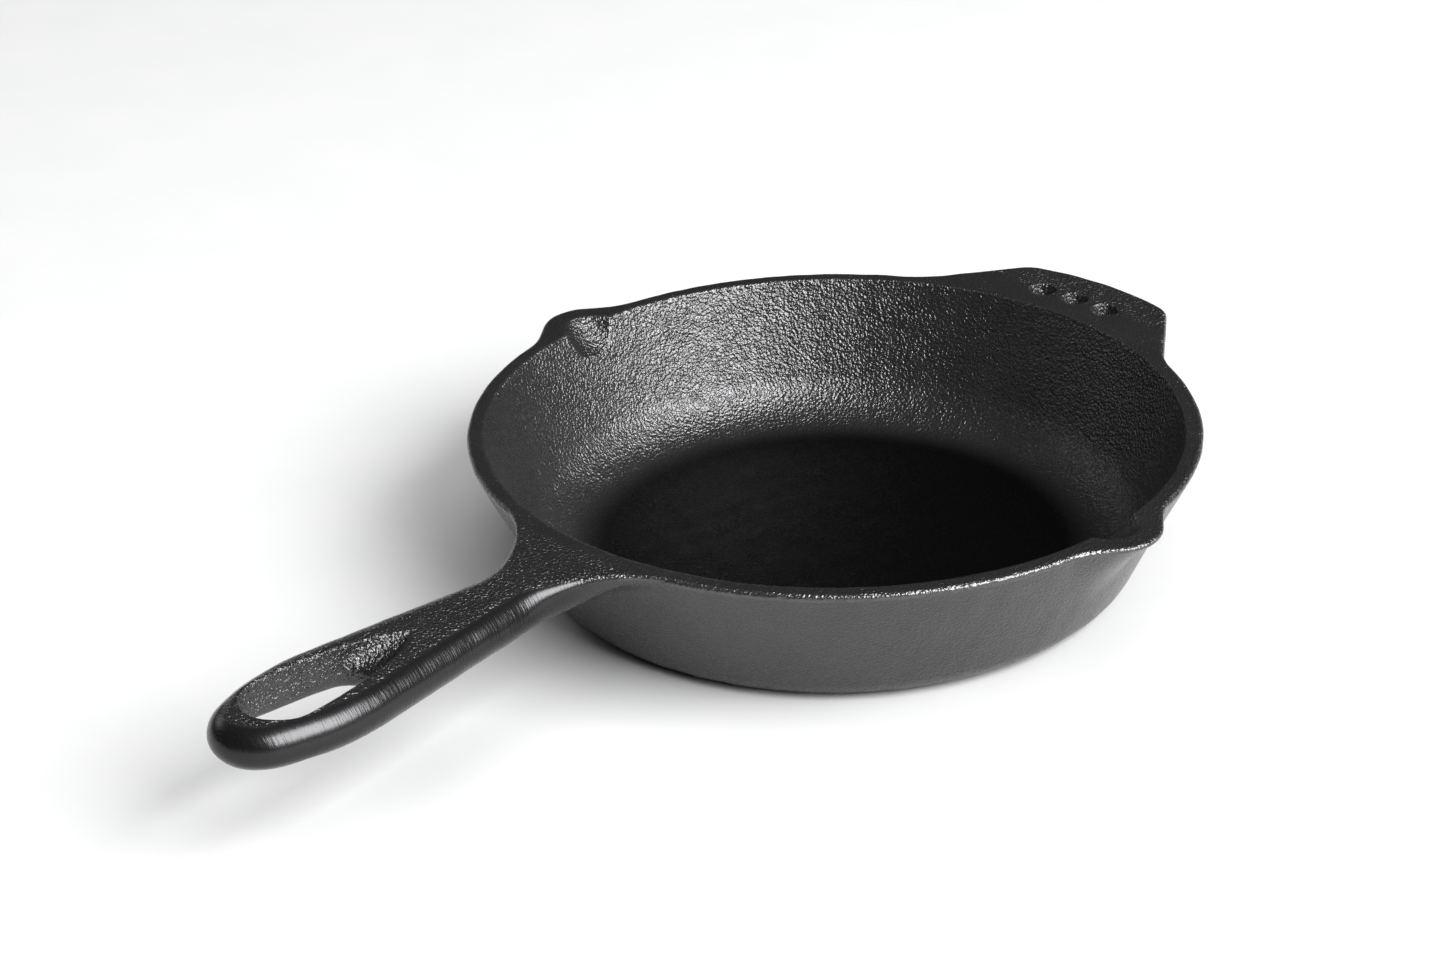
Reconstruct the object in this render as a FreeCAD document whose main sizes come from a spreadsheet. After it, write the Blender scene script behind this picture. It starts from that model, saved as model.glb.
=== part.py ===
import FreeCAD, Part
import math
import os
import re
import Sketcher

# Cast iron skillet, 10 inch class, modelled as the named regions of one casting.
# Millimetres and degrees.  Z is up and the origin is the centre of the flat base.  The long
# handle runs along -Y, the assist handle along +Y, and the two pour spouts stand at +X and -X.
# The rim, the tops of both handles and the lips of the spouts lie in the plane skillet_height.

DIMENSIONS = {
    # bowl
    "rim_radius": 130,
    "rim_width": 6.2,
    "skillet_height": 53.3,
    "wall_lean": 25,
    "inside_lean": 23.5,
    "floor_thickness": 4.5,
    "outer_corner": 14,
    "inner_corner": 26,
    # pour spouts: a round-nosed lip with a tilted channel through it
    "spout_reach": 10,
    "spout_depth": 20,
    "spout_half_angle": 13,
    "nose_radius": 16.5,
    "nose_blend": 18,
    "channel_radius": 12.5,
    "channel_tilt": 48,
    "channel_reach": 2.5,
    "lip_thickness": 5.6,
    # main handle, its distances measured from the bowl's axis
    "handle_root": 118,
    "handle_tip": 281,
    "handle_split": 193,
    "handle_widest": 240,
    "handle_half_width": 21.8,
    "handle_taper": 7,
    "handle_depth": 16,
    "tip_radius": 17,
    "keel_rounding": 6,
    "shoulder_rounding": 3,
    "neck_half_width": 14,
    "flare_radius": 40,
    "flare_depth": 6,
    # teardrop hanging hole, with a ramp from the handle's top down into its point
    "hole_end": 269,
    "hole_radius": 13.4,
    "hole_point": 197,
    "ramp_end": 220,
    "ramp_depth": 8.5,
    "ramp_half_width": 9.2,
    # assist handle
    "lug_reach": 157.2,
    "lug_edge_radius": 110,
    "lug_shoulder": 33,
    "lug_root_half_width": 60.6,
    "lug_root_reach": 112.6,
    "lug_thickness": 7,
    "lug_corner": 14,
    "lug_rounding": 1.5,
    "lug_hole_radius": 5,
    "lug_hole_reach": 138.4,
    "lug_hole_pitch": 6.1,
}
INSIDE = 105     # distance from the axis that is well inside the wall, where handles may start
CLEAR = 2        # how far a cutting shape stands past the face it starts from
TOOL_LENGTH = 90  # length of the cylinders that shape a spout, longer than the spout

doc = FreeCAD.newDocument("cast_iron_skillet")
sheet = doc.addObject("Spreadsheet::Sheet", "sizes")
for row, (alias, size) in enumerate(DIMENSIONS.items(), start=1):
    sheet.set(f"A{row}", alias)
    sheet.set(f"B{row}", str(size))
    sheet.setAlias(f"B{row}", alias)
doc.recompute()

# Places that follow from the driving dimensions, as formulas of them.
CONTACT_RADIUS = (
    "(rim_radius - skillet_height * tan(wall_lean)"
    " - outer_corner * tan((90 - wall_lean) / 2))"
)
FLOOR_RADIUS = (
    "(rim_radius - rim_width - (skillet_height - floor_thickness) * tan(inside_lean)"
    " - inner_corner * tan((90 - inside_lean) / 2))"
)
SEAT_HEIGHT = "(skillet_height - spout_depth)"
TIP_SETBACK = "(handle_tip - handle_widest - tip_radius)"
SIDE_RADIUS = (
    f"((handle_half_width ^ 2 + {TIP_SETBACK} ^ 2 - tip_radius ^ 2)"
    " / (2 * (handle_half_width - tip_radius)))"
)
SIDE_END = f"(handle_half_width - {SIDE_RADIUS} * (1 - cos(handle_taper)))"
SIDE_END_REACH = f"(handle_widest - {SIDE_RADIUS} * sin(handle_taper))"
HOLE_LENGTH = "(hole_end - hole_radius - hole_point)"
HOLE_SIDE_RADIUS = f"((hole_radius ^ 2 + {HOLE_LENGTH} ^ 2) / (2 * hole_radius))"
FLARE_CENTRE = "(neck_half_width + flare_radius)"
FLARE_CENTRE_REACH = f"sqrt((rim_radius + flare_radius) ^ 2 - {FLARE_CENTRE} ^ 2)"


TOP = DIMENSIONS["skillet_height"]
HANDLE_BOTTOM = TOP - DIMENSIONS["handle_depth"]
LUG_BOTTOM = TOP - DIMENSIONS["lug_thickness"]


def side_at(reach):
    """Half the handle's width on its straight tapering side, at a distance from the axis."""
    return f"({SIDE_END} - ({SIDE_END_REACH} - {reach}) * tan(handle_taper))"


def value(formula):
    """The present value of a formula."""
    answer = sheet.evalExpression(str(formula))
    return float(getattr(answer, "Value", answer))


def cell(word):
    """A dimension's name as other objects write it; any other word stays as it is."""
    return f"sizes.{word[0]}" if word[0] in DIMENSIONS else word[0]


def bind(target, path, formula):
    """Tie a property to a formula of the sheet's dimensions."""
    target.setExpression(path, re.sub(r"[a-z_]+", cell, str(formula)))


# ---------------------------------------------------------------- sketches and features
def new_body(name):
    """An empty body whose label names its node."""
    body = doc.addObject("PartDesign::Body", name)
    body.Label = name
    return body


def new_sketch(body, name, plane, height=None):
    """A sketch on one of the body's own origin planes, lifted to a height if one is given."""
    sketch = body.newObject("Sketcher::SketchObject", name)
    support = next(feature for feature in body.Origin.OriginFeatures if feature.Role == plane)
    sketch.AttachmentSupport = [(support, "")]
    sketch.MapMode = "FlatFace"
    if height is not None:
        bind(sketch, "AttachmentOffset.Base.z", height)
    return sketch


def pin(sketch, edge, end, corner):
    """Hold one end of an edge at a corner given by two formulas."""
    for axis, formula, zero_line in zip("XY", corner, (-2, -1)):
        if str(formula) == "0":
            sketch.addConstraint(Sketcher.Constraint("PointOnObject", edge, end, zero_line))
            continue
        number = sketch.addConstraint(
            Sketcher.Constraint(f"Distance{axis}", -1, 1, edge, end, value(formula)))
        name = f"edge{edge}_{end}_{axis}"
        sketch.renameConstraint(number, name)
        bind(sketch, f"Constraints.{name}", formula)


def size_radius(sketch, edge, formula):
    """Bind the radius of an arc or circle."""
    number = sketch.addConstraint(Sketcher.Constraint("Radius", edge, value(formula)))
    name = f"edge{edge}_radius"
    sketch.renameConstraint(number, name)
    bind(sketch, f"Constraints.{name}", formula)


def arc_between(start, end, radius, turn):
    """The shorter arc from start to end; turn is 1 for anticlockwise and -1 for clockwise."""
    chord = end - start
    left = FreeCAD.Vector(-chord.y, chord.x, 0).normalize()
    rise = math.sqrt(max(radius ** 2 - (chord.Length / 2) ** 2, 0))
    middle = (start + end) * 0.5 + left * turn * (rise - radius)
    return Part.Arc(start, middle, end)


def draw_outline(sketch, corners, arcs=None):
    """A closed outline through corners, each a pair of formulas.

    arcs gives, for the number of the corner where an arc starts, its radius and its turn.
    """
    arcs = arcs or {}
    points = [FreeCAD.Vector(value(across), value(up), 0) for across, up in corners]
    count = len(corners)
    ends = []
    for number, start in enumerate(points):
        finish = points[(number + 1) % count]
        if number in arcs:
            radius, turn = arcs[number]
            edge = sketch.addGeometry(arc_between(start, finish, value(radius), turn))
        else:
            edge = sketch.addGeometry(Part.LineSegment(start, finish))
        starts_at_one = sketch.getPoint(edge, 1).distanceToPoint(start) < 1e-6
        ends.append((1, 2) if starts_at_one else (2, 1))
    for edge, corner in enumerate(corners):
        following = (edge + 1) % count
        sketch.addConstraint(
            Sketcher.Constraint("Coincident", edge, ends[edge][1], following, ends[following][0]))
        pin(sketch, edge, ends[edge][0], corner)
        if edge in arcs:
            size_radius(sketch, edge, arcs[edge][0])


def draw_circle(sketch, centre, radius):
    """A circle whose centre is a pair of formulas."""
    middle = FreeCAD.Vector(value(centre[0]), value(centre[1]), 0)
    edge = sketch.addGeometry(Part.Circle(middle, FreeCAD.Vector(0, 0, 1), value(radius)))
    pin(sketch, edge, 3, centre)
    size_radius(sketch, edge, radius)


def pad(body, sketch, name, length, both_ways=False):
    """Extrude a sketch along its normal, or half each way."""
    feature = body.newObject("PartDesign::Pad", name)
    feature.Profile = sketch
    feature.SideType = "Symmetric" if both_ways else "One side"
    bind(feature, "Length", length)
    doc.recompute()
    return feature


def cut(body, feature_type, sketch, name):
    """A pocket or groove, checked to take material away."""
    before = body.Shape.Volume
    feature = body.newObject(f"PartDesign::{feature_type}", name)
    feature.Profile = sketch
    if feature_type == "Groove":
        feature.ReferenceAxis = (sketch, ["V_Axis"])
        feature.Angle = 360
    else:
        feature.Type = "ThroughAll"
        feature.Reversed = True
    doc.recompute()
    if not body.Shape.Volume < before - 1:
        raise RuntimeError(f"{name} cuts nothing")
    return feature


def fillet(body, base, name, radius, wanted):
    """Round the edges of base that the test accepts."""
    feature = body.newObject("PartDesign::Fillet", name)
    numbered = enumerate(base.Shape.Edges, start=1)
    feature.Base = (base, [f"Edge{number}" for number, edge in numbered if wanted(edge)])
    bind(feature, "Radius", radius)
    doc.recompute()
    return feature


def side_edges_at(height):
    """A test for a pad's outline edges at a height, apart from its straight ends along X."""
    def wanted(edge):
        box = edge.BoundBox
        return abs(box.ZMin - height) < 0.01 and box.ZLength < 0.01 and box.YLength > 1
    return wanted


def clear_of_bowl(body):
    """Groove a handle so that it ends on the wall's leaning outer face."""
    sketch = new_sketch(body, body.Label + "_bowl_profile", "XZ_Plane")
    top = f"(skillet_height + {CLEAR})"
    draw_outline(sketch, [
        ("0", "0"),
        ("(rim_radius - skillet_height * tan(wall_lean))", "0"),
        (f"(rim_radius + {CLEAR} * tan(wall_lean))", top),
        ("0", top),
    ])
    return cut(body, "Groove", sketch, body.Label + "_bowl_clearance")


# ---------------------------------------------------------------- the bowl
def make_cooking_floor():
    """The flat round floor."""
    body = new_body("cooking_floor")
    sketch = new_sketch(body, "floor_outline", "XY_Plane")
    draw_circle(sketch, ("0", "0"), FLOOR_RADIUS)
    pad(body, sketch, "floor_pad", "floor_thickness")
    return body


def make_side_wall():
    """The leaning wall with its base corner and flat rim, notched to take the two spouts."""
    body = new_body("side_wall")
    profile = new_sketch(body, "wall_profile", "XZ_Plane")
    draw_outline(profile, [
        (FLOOR_RADIUS, "0"),
        (CONTACT_RADIUS, "0"),
        (f"({CONTACT_RADIUS} + outer_corner * cos(wall_lean))", "outer_corner * (1 - sin(wall_lean))"),
        ("rim_radius", "skillet_height"),
        ("(rim_radius - rim_width)", "skillet_height"),
        (f"({FLOOR_RADIUS} + inner_corner * cos(inside_lean))",
         "(floor_thickness + inner_corner * (1 - sin(inside_lean)))"),
        (FLOOR_RADIUS, "floor_thickness"),
    ], arcs={1: ("outer_corner", 1), 5: ("inner_corner", -1)})
    wall = body.newObject("PartDesign::Revolution", "wall_turned")
    wall.Profile = profile
    wall.ReferenceAxis = (profile, ["V_Axis"])
    wall.Angle = 360
    doc.recompute()

    seat = new_sketch(body, "spout_seat_outline", "XY_Plane", SEAT_HEIGHT)
    inner, outer = FLOOR_RADIUS, "(rim_radius + spout_reach)"
    draw_outline(seat, [
        (f"{reach} * cos(spout_half_angle)", f"{side} * {reach} * sin(spout_half_angle)")
        for reach, side in ((inner, -1), (outer, -1), (outer, 1), (inner, 1))
    ])
    pocket = cut(body, "Pocket", seat, "spout_seat")
    pattern = body.newObject("PartDesign::PolarPattern", "both_spout_seats")
    pattern.Originals = [pocket]
    pattern.Axis = (seat, ["N_Axis"])
    pattern.Angle = 360
    pattern.Occurrences = 2
    body.Tip = pattern
    doc.recompute()
    return body


# ---------------------------------------------------------------- the pour spouts
def make_lip_block(name):
    """A prism with the lip's outline: a round nose blended into the rim by two hollow arcs."""
    body = new_body(name + "_lip_block")
    sketch = new_sketch(body, name + "_lip_outline", "XY_Plane", SEAT_HEIGHT)
    nose = "(rim_radius + spout_reach - nose_radius)"
    blend_reach = "(rim_radius + nose_blend)"
    blend_x = f"(({blend_reach} ^ 2 - (nose_radius + nose_blend) ^ 2 + {nose} ^ 2) / (2 * {nose}))"
    blend_y = f"sqrt({blend_reach} ^ 2 - {blend_x} ^ 2)"
    rim_x = f"{blend_x} * rim_radius / {blend_reach}"
    rim_y = f"{blend_y} * rim_radius / {blend_reach}"
    nose_share = "nose_radius / (nose_radius + nose_blend)"
    nose_x = f"({nose} + ({blend_x} - {nose}) * {nose_share})"
    nose_y = f"{blend_y} * {nose_share}"
    draw_outline(sketch, [
        (f"{INSIDE}", f"-{rim_y}"),
        (rim_x, f"-{rim_y}"),
        (nose_x, f"-{nose_y}"),
        (nose_x, nose_y),
        (rim_x, rim_y),
        (f"{INSIDE}", rim_y),
    ], arcs={1: ("nose_blend", -1), 2: ("nose_radius", 1), 3: ("nose_blend", -1)})
    pad(body, sketch, name + "_lip_pad", "spout_depth")
    return body


def make_tilted_cylinder(name, radius):
    """A cylinder about the channel's axis, which leans outward from the vertical."""
    cylinder = doc.addObject("Part::Cylinder", name)
    bind(cylinder, "Radius", radius)
    cylinder.Height = TOOL_LENGTH
    cylinder.Placement = FreeCAD.Placement(
        FreeCAD.Vector(), FreeCAD.Rotation(FreeCAD.Vector(0, 1, 0), value("channel_tilt")))
    bind(cylinder, "Placement.Rotation.Angle", "channel_tilt")
    bind(cylinder, "Placement.Base.x",
         "rim_radius + channel_reach - channel_radius * cos(channel_tilt)"
         f" - {TOOL_LENGTH / 2} * sin(channel_tilt)")
    bind(cylinder, "Placement.Base.z",
         "skillet_height + channel_radius * sin(channel_tilt)"
         f" - {TOOL_LENGTH / 2} * cos(channel_tilt)")
    return cylinder


def make_cone(name, rim, lean, below, above):
    """A cone of a given radius in the rim plane, from below that plane to above it."""
    cone = doc.addObject("Part::Cone", name)
    bind(cone, "Radius1", f"{rim} - ({below}) * tan({lean})")
    bind(cone, "Radius2", f"{rim} + ({above}) * tan({lean})")
    bind(cone, "Height", f"{below} + {above}")
    bind(cone, "Placement.Base.z", f"skillet_height - ({below})")
    return cone


def make_boolean(kind, name, base, tool):
    """A Part cut, fuse or common of two shapes."""
    result = doc.addObject(f"Part::{kind}", name)
    result.Base = base
    result.Tool = tool
    doc.recompute()
    return result


def make_pour_spout(name, quarter):
    """A stretch of wall and rim pushed out into a lip, turned to its place round the bowl."""
    lobe = make_boolean("Common", name + "_lobe", make_lip_block(name),
                        make_tilted_cylinder(name + "_bulge", "channel_radius + lip_thickness"))
    wall = make_cone(name + "_wall", "rim_radius", "wall_lean", "spout_depth", "0")
    bind(wall, "Angle", "2 * spout_half_angle")
    wall.Placement.Rotation = FreeCAD.Rotation(FreeCAD.Vector(0, 0, 1), -value("spout_half_angle"))
    outside = make_boolean("Fuse", name + "_outside", wall, lobe)
    bowl = make_cone(name + "_bowl_inside", "(rim_radius - rim_width)", "inside_lean",
                     f"spout_depth + {CLEAR}", CLEAR)
    shell = make_boolean("Cut", name + "_shell", outside, bowl)
    channel = make_tilted_cylinder(name + "_channel", "channel_radius")
    spout = make_boolean("Cut", name, shell, channel)
    spout.Label = name
    spout.Placement = FreeCAD.Placement(
        FreeCAD.Vector(), FreeCAD.Rotation(FreeCAD.Vector(0, 0, 1), quarter))
    doc.recompute()
    return spout


# ---------------------------------------------------------------- the main handle
def make_handle_neck():
    """The handle's root: a deep tapering keel and a thinner flare that runs out to the rim."""
    body = new_body("handle_neck")
    keel = new_sketch(body, "keel_outline", "XY_Plane", "(skillet_height - handle_depth)")
    split, root = side_at("handle_split"), side_at("handle_root")
    draw_outline(keel, [
        (f"-{split}", "-handle_split"),
        (split, "-handle_split"),
        (root, "-handle_root"),
        (f"-{root}", "-handle_root"),
    ])
    bar = pad(body, keel, "keel_pad", "handle_depth")
    under = fillet(body, bar, "keel_underside", "keel_rounding", side_edges_at(HANDLE_BOTTOM))
    fillet(body, under, "neck_shoulder", "shoulder_rounding", side_edges_at(TOP))

    flare = new_sketch(body, "flare_outline", "XY_Plane", "(skillet_height - flare_depth)")
    rim_share = "rim_radius / (rim_radius + flare_radius)"
    rim_x, rim_y = f"{FLARE_CENTRE} * {rim_share}", f"-{FLARE_CENTRE_REACH} * {rim_share}"
    draw_outline(flare, [
        ("-neck_half_width", f"-{FLARE_CENTRE_REACH}"),
        ("neck_half_width", f"-{FLARE_CENTRE_REACH}"),
        (rim_x, rim_y),
        (rim_x, f"-{INSIDE}"),
        (f"-{rim_x}", f"-{INSIDE}"),
        (f"-{rim_x}", rim_y),
    ], arcs={1: ("flare_radius", -1), 5: ("flare_radius", -1)})
    pad(body, flare, "flare_pad", "flare_depth")
    clear_of_bowl(body)
    return body


def draw_loop_outline(sketch):
    """The handle's wide end: straight sides, two long side arcs and a tip arc, all tangent."""
    split = side_at("handle_split")
    reach = f"({SIDE_RADIUS} - tip_radius)"
    join_x = (f"(handle_half_width - {SIDE_RADIUS}"
              f" + {SIDE_RADIUS} * ({SIDE_RADIUS} - handle_half_width) / {reach})")
    join_y = f"-(handle_widest + {SIDE_RADIUS} * {TIP_SETBACK} / {reach})"
    draw_outline(sketch, [
        (join_x, join_y),
        (SIDE_END, f"-{SIDE_END_REACH}"),
        (split, "-handle_split"),
        (f"-{split}", "-handle_split"),
        (f"-{SIDE_END}", f"-{SIDE_END_REACH}"),
        (f"-{join_x}", join_y),
    ], arcs={0: (SIDE_RADIUS, 1), 4: (SIDE_RADIUS, 1), 5: ("tip_radius", 1)})


def make_handle_loop():
    """The wide end of the handle, its teardrop hole, and the ramp that leads into the hole."""
    body = new_body("handle_loop")
    outline = new_sketch(body, "loop_outline", "XY_Plane", "(skillet_height - handle_depth)")
    draw_loop_outline(outline)
    bar = pad(body, outline, "loop_pad", "handle_depth")
    under = fillet(body, bar, "loop_underside", "keel_rounding", side_edges_at(HANDLE_BOTTOM))
    fillet(body, under, "loop_shoulder", "shoulder_rounding", side_edges_at(TOP))

    hole = new_sketch(body, "hole_outline", "XY_Plane")
    draw_outline(hole, [
        ("-hole_radius", "-(hole_end - hole_radius)"),
        ("0", "-hole_end"),
        ("hole_radius", "-(hole_end - hole_radius)"),
        ("0", "-hole_point"),
    ], arcs={
        0: ("hole_radius", 1),
        1: ("hole_radius", 1),
        2: (HOLE_SIDE_RADIUS, 1),
        3: (HOLE_SIDE_RADIUS, 1),
    })
    cut(body, "Pocket", hole, "hanging_hole")

    ramp = new_sketch(body, "ramp_profile", "YZ_Plane")
    draw_outline(ramp, [
        ("-ramp_end", "(skillet_height - handle_depth)"),
        ("-handle_split", "(skillet_height - handle_depth)"),
        ("-handle_split", "skillet_height"),
        ("-hole_point", "skillet_height"),
        ("-ramp_end", "(skillet_height - ramp_depth)"),
    ])
    pad(body, ramp, "ramp_pad", "2 * ramp_half_width", both_ways=True)
    return body


# ---------------------------------------------------------------- the assist handle
def make_assist_handle():
    """A broad flat lug with a gently curved edge and three round holes in a row."""
    body = new_body("assist_handle")
    outline = new_sketch(body, "lug_outline", "XY_Plane", "(skillet_height - lug_thickness)")
    shoulder_y = "(lug_reach - lug_edge_radius + sqrt(lug_edge_radius ^ 2 - lug_shoulder ^ 2))"
    draw_outline(outline, [
        ("-lug_root_half_width", "lug_root_reach"),
        ("-lug_root_half_width", f"{INSIDE}"),
        ("lug_root_half_width", f"{INSIDE}"),
        ("lug_root_half_width", "lug_root_reach"),
        ("lug_shoulder", shoulder_y),
        ("-lug_shoulder", shoulder_y),
    ], arcs={4: ("lug_edge_radius", 1)})
    plate = pad(body, outline, "lug_pad", "lug_thickness")
    shoulder = value(shoulder_y)
    corners = fillet(body, plate, "lug_corners", "lug_corner",
                     lambda edge: edge.BoundBox.ZLength > 1 and edge.CenterOfMass.y > shoulder - 1)
    under = fillet(body, corners, "lug_underside", "lug_rounding", side_edges_at(LUG_BOTTOM))
    fillet(body, under, "lug_top", "lug_rounding", side_edges_at(TOP))

    holes = new_sketch(body, "hole_row", "XY_Plane")
    for place in (-1, 0, 1):
        across = f"lug_hole_reach * sin({place} * lug_hole_pitch)" if place else "0"
        draw_circle(holes, (across, f"lug_hole_reach * cos({place} * lug_hole_pitch)"), "lug_hole_radius")
    cut(body, "Pocket", holes, "lug_holes")
    clear_of_bowl(body)
    return body


# ---------------------------------------------------------------- build, check and write
parts = [
    make_cooking_floor(),
    make_side_wall(),
    make_pour_spout("pour_spout_right", 0),
    make_pour_spout("pour_spout_left", 180),
    make_handle_neck(),
    make_handle_loop(),
    make_assist_handle(),
]
doc.recompute()

failed = [item.Label for item in doc.Objects if "Invalid" in item.State or "Error" in item.State]
if failed:
    raise RuntimeError(f"these features failed: {failed}")

os.makedirs("parts", exist_ok=True)
for part in parts:
    shape = part.Shape
    if shape.isNull() or not shape.isValid() or len(shape.Solids) != 1:
        raise RuntimeError(f"{part.Label} is not one valid solid")
    shape.exportStep(f"parts/{part.Label}.step")
    print(f"{part.Label}: {shape.Volume / 1000:.1f} cm3")
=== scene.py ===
import math

import bpy
import numpy as np
from mathutils import Matrix, Vector


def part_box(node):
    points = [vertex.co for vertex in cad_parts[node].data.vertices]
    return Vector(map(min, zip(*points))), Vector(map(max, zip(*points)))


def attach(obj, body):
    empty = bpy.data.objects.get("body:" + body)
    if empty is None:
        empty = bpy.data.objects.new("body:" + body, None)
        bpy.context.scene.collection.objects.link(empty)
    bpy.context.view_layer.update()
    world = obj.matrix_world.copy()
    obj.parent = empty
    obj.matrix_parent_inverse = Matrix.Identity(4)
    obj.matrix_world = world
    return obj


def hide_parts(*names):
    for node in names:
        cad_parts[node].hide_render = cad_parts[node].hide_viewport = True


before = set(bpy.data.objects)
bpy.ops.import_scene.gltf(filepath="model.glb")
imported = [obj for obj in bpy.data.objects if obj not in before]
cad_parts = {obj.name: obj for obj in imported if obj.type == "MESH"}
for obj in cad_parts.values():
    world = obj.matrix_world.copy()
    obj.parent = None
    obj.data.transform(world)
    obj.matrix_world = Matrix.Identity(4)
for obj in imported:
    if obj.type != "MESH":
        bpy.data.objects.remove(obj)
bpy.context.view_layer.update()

# Cast iron skillet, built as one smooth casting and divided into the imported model's nodes.
# The casting is a field of signed distances, in millimetres: negative inside the iron.  Its skin
# is drawn on a lattice that wraps round the bowl and runs straight along the handle.

MM = 0.001


# ---------------------------------------------------------------- sizes, in millimetres and radians
def box_mm(node):
    """The lowest and highest corner of a node, to a tenth of a millimetre."""
    return [np.round(np.array(corner) / MM, 1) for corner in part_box(node)]


WALL_BOX = box_mm("side_wall")
LOOP_BOX = box_mm("handle_loop")
LUG_BOX = box_mm("assist_handle")
SPOUT_BOX = box_mm("pour_spout_right")

# the bowl
TOP = WALL_BOX[1][2]
RIM = WALL_BOX[1][1]
FLOOR_TOP = box_mm("cooking_floor")[1][2]
FLOOR_RADIUS = box_mm("cooking_floor")[1][0]
RIM_WIDTH = 6.2
WALL_LEAN = math.radians(25)
INSIDE_LEAN = math.radians(23.5)
OUTER_CORNER = 14
INNER_CORNER = 26
RIM_OUTER_EDGE = 1.5
RIM_INNER_EDGE = 1.0
RIM_GROWTH = 0.7        # lets the rounded outer edge reach the CAD's sharp one
GROWTH_HEIGHT = 30      # height of wall over which that growth comes in

# the pour spouts
SPOUT_TILT = math.radians(48)
NOSE = SPOUT_BOX[1][0]
SPOUT_SEAT = SPOUT_BOX[0][2]
SPOUT_HALF_ANGLE = math.radians(13)
LIP_RADIUS = 25.5
LIP_BLEND = 15
LIP_LEAN = 0.6          # cosine between the wall's normal and the lip's where they join
NOSE_ROUNDING = 1.8     # what the lip's rounded edge would otherwise take off its reach
CHANNEL_RADIUS = 13.3
CHANNEL_NOSE = 132.5
CHANNEL_EDGE = 1.0
CHANNEL_DEPTH = 15
CHANNEL_CORNER = 7.0
CHANNEL_LEAN = 0.5

# the main handle
TIP = -LOOP_BOX[0][1]
SPLIT = -LOOP_BOX[1][1]
HANDLE_DEPTH = TOP - LOOP_BOX[0][2]
HALF_WIDTH = LOOP_BOX[1][0]
WIDEST = 240
TIP_RADIUS = 17
TAPER = math.radians(7)
FLARE_RADIUS = 40
FLARE_TRIM = 0.8        # how far the flare's outline draws in towards its two ends
FLARE_ENDS = (36, 60)
SHOULDER_WIDTH = 8.5
SHOULDER_HEIGHT = 8.5
KEEL_WIDTH = 9.0
ROOT_REACH = (128, 168)     # the root's thin edges grow into the handle's between these
ROOT_EDGE_WIDTH = 1.6
ROOT_EDGE_HEIGHT = 1.8
ROOT_PLATE = 3.5
ROOT_KEEL_SPREAD = 16
ROOT_KEEL_WIDTH = 4.0
WEB_FILLET = 7          # hollow between the handle's keel and the wall
WEB_FADE = (18, 40)     # distances from the middle line between which that hollow runs out
WEB_LEAN = 0.3
HOLE_END = 269
HOLE_RADIUS = 13.4
HOLE_POINT = 197
HOLE_EDGE = 0.9
HOLE_UNDER_EDGE = 5.0
HOLE_EDGE_DEPTHS = (10, 5)  # rounded as underneath below the first, as on top above the second
RAMP_END = 220
RAMP_DEPTH = 8.5
RAMP_VALLEY = 6.0
RAMP_LIP = 1.2

# the assist handle
LUG_REACH = LUG_BOX[1][1]
LUG_THICKNESS = TOP - LUG_BOX[0][2]
LUG_EDGE_RADIUS = 110
LUG_SHOULDER = 33
LUG_ROOT = (60.6, 112.6)
LUG_CORNER = 14
LUG_EDGE = 1.5
LUG_FILLET = 2.5
LUG_HOLE_RADIUS = 5
LUG_HOLE_REACH = 138.4
LUG_HOLE_PITCH = math.radians(6.1)
LUG_HOLE_EDGE = 0.5
LUG_HOLE_DRAFT = 0.04

# the skin's slow unevenness
WAVE_SEED = 11
WAVE_COUNT = 16
WAVE_LENGTHS = (9, 34)
WAVE_HEIGHT = 0.045

# where the fields of the handles and the hanging hole count, and their value elsewhere
BOWL_CLEAR = 100
HANDLE_SECTOR = 0.6
HOLE_CLEAR = 180
LUG_HALF_SPAN = 75
FAR = 1e3


# ---------------------------------------------------------------- joining fields
def smooth_step(value, start, end):
    """0 before start, 1 after end, and an S-shaped rise between."""
    share = np.clip((value - start) / (end - start), 0, 1)
    return share * share * (3 - 2 * share)


def mix(low, high, share):
    """Low where share is 0, high where it is 1, and evenly between."""
    return low + (high - low) * share


def rounded_both(a, b, radius, lean=0.0):
    """What is inside both a and b, its edge rounded.  lean is the cosine between their normals."""
    u = a + radius
    v = b + radius
    arc = np.sqrt(np.maximum(u * u + v * v - 2 * lean * u * v, 0) / (1 - lean * lean)) - radius
    return np.where((u > lean * v) & (v > lean * u), arc, np.maximum(a, b))


def rounded_either(a, b, radius, lean=0.0):
    """What is inside a or b, with a hollow fillet between them."""
    return -rounded_both(-a, -b, radius, lean)


# ---------------------------------------------------------------- the bowl and its spouts
def wall_radius(z):
    """Radius of the wall's outer face at a height."""
    return RIM - (TOP - z) * math.tan(WALL_LEAN)


def tilted_cylinder(x, y, z, radius, nose):
    """A cylinder that leans outward along +X, whose outer side meets the rim plane at nose."""
    across = (x - nose) * math.cos(SPOUT_TILT) - (z - TOP) * math.sin(SPOUT_TILT) + radius
    return np.hypot(across, y) - radius


def bowl_outside(x, y, z):
    """The wall's outer face with both lips on it, its top edge rounded."""
    growth = RIM_GROWTH * smooth_step(z, TOP - GROWTH_HEIGHT, TOP)
    cone = (np.hypot(x, y) - wall_radius(z) - growth) * math.cos(WALL_LEAN)
    lip = tilted_cylinder(np.abs(x), y, z, LIP_RADIUS, NOSE + NOSE_ROUNDING)
    side = rounded_either(cone, lip, LIP_BLEND, LIP_LEAN)
    side = rounded_both(side, z - TOP, RIM_OUTER_EDGE, -math.sin(WALL_LEAN))
    return rounded_both(side, -z, OUTER_CORNER, math.sin(WALL_LEAN))


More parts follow.
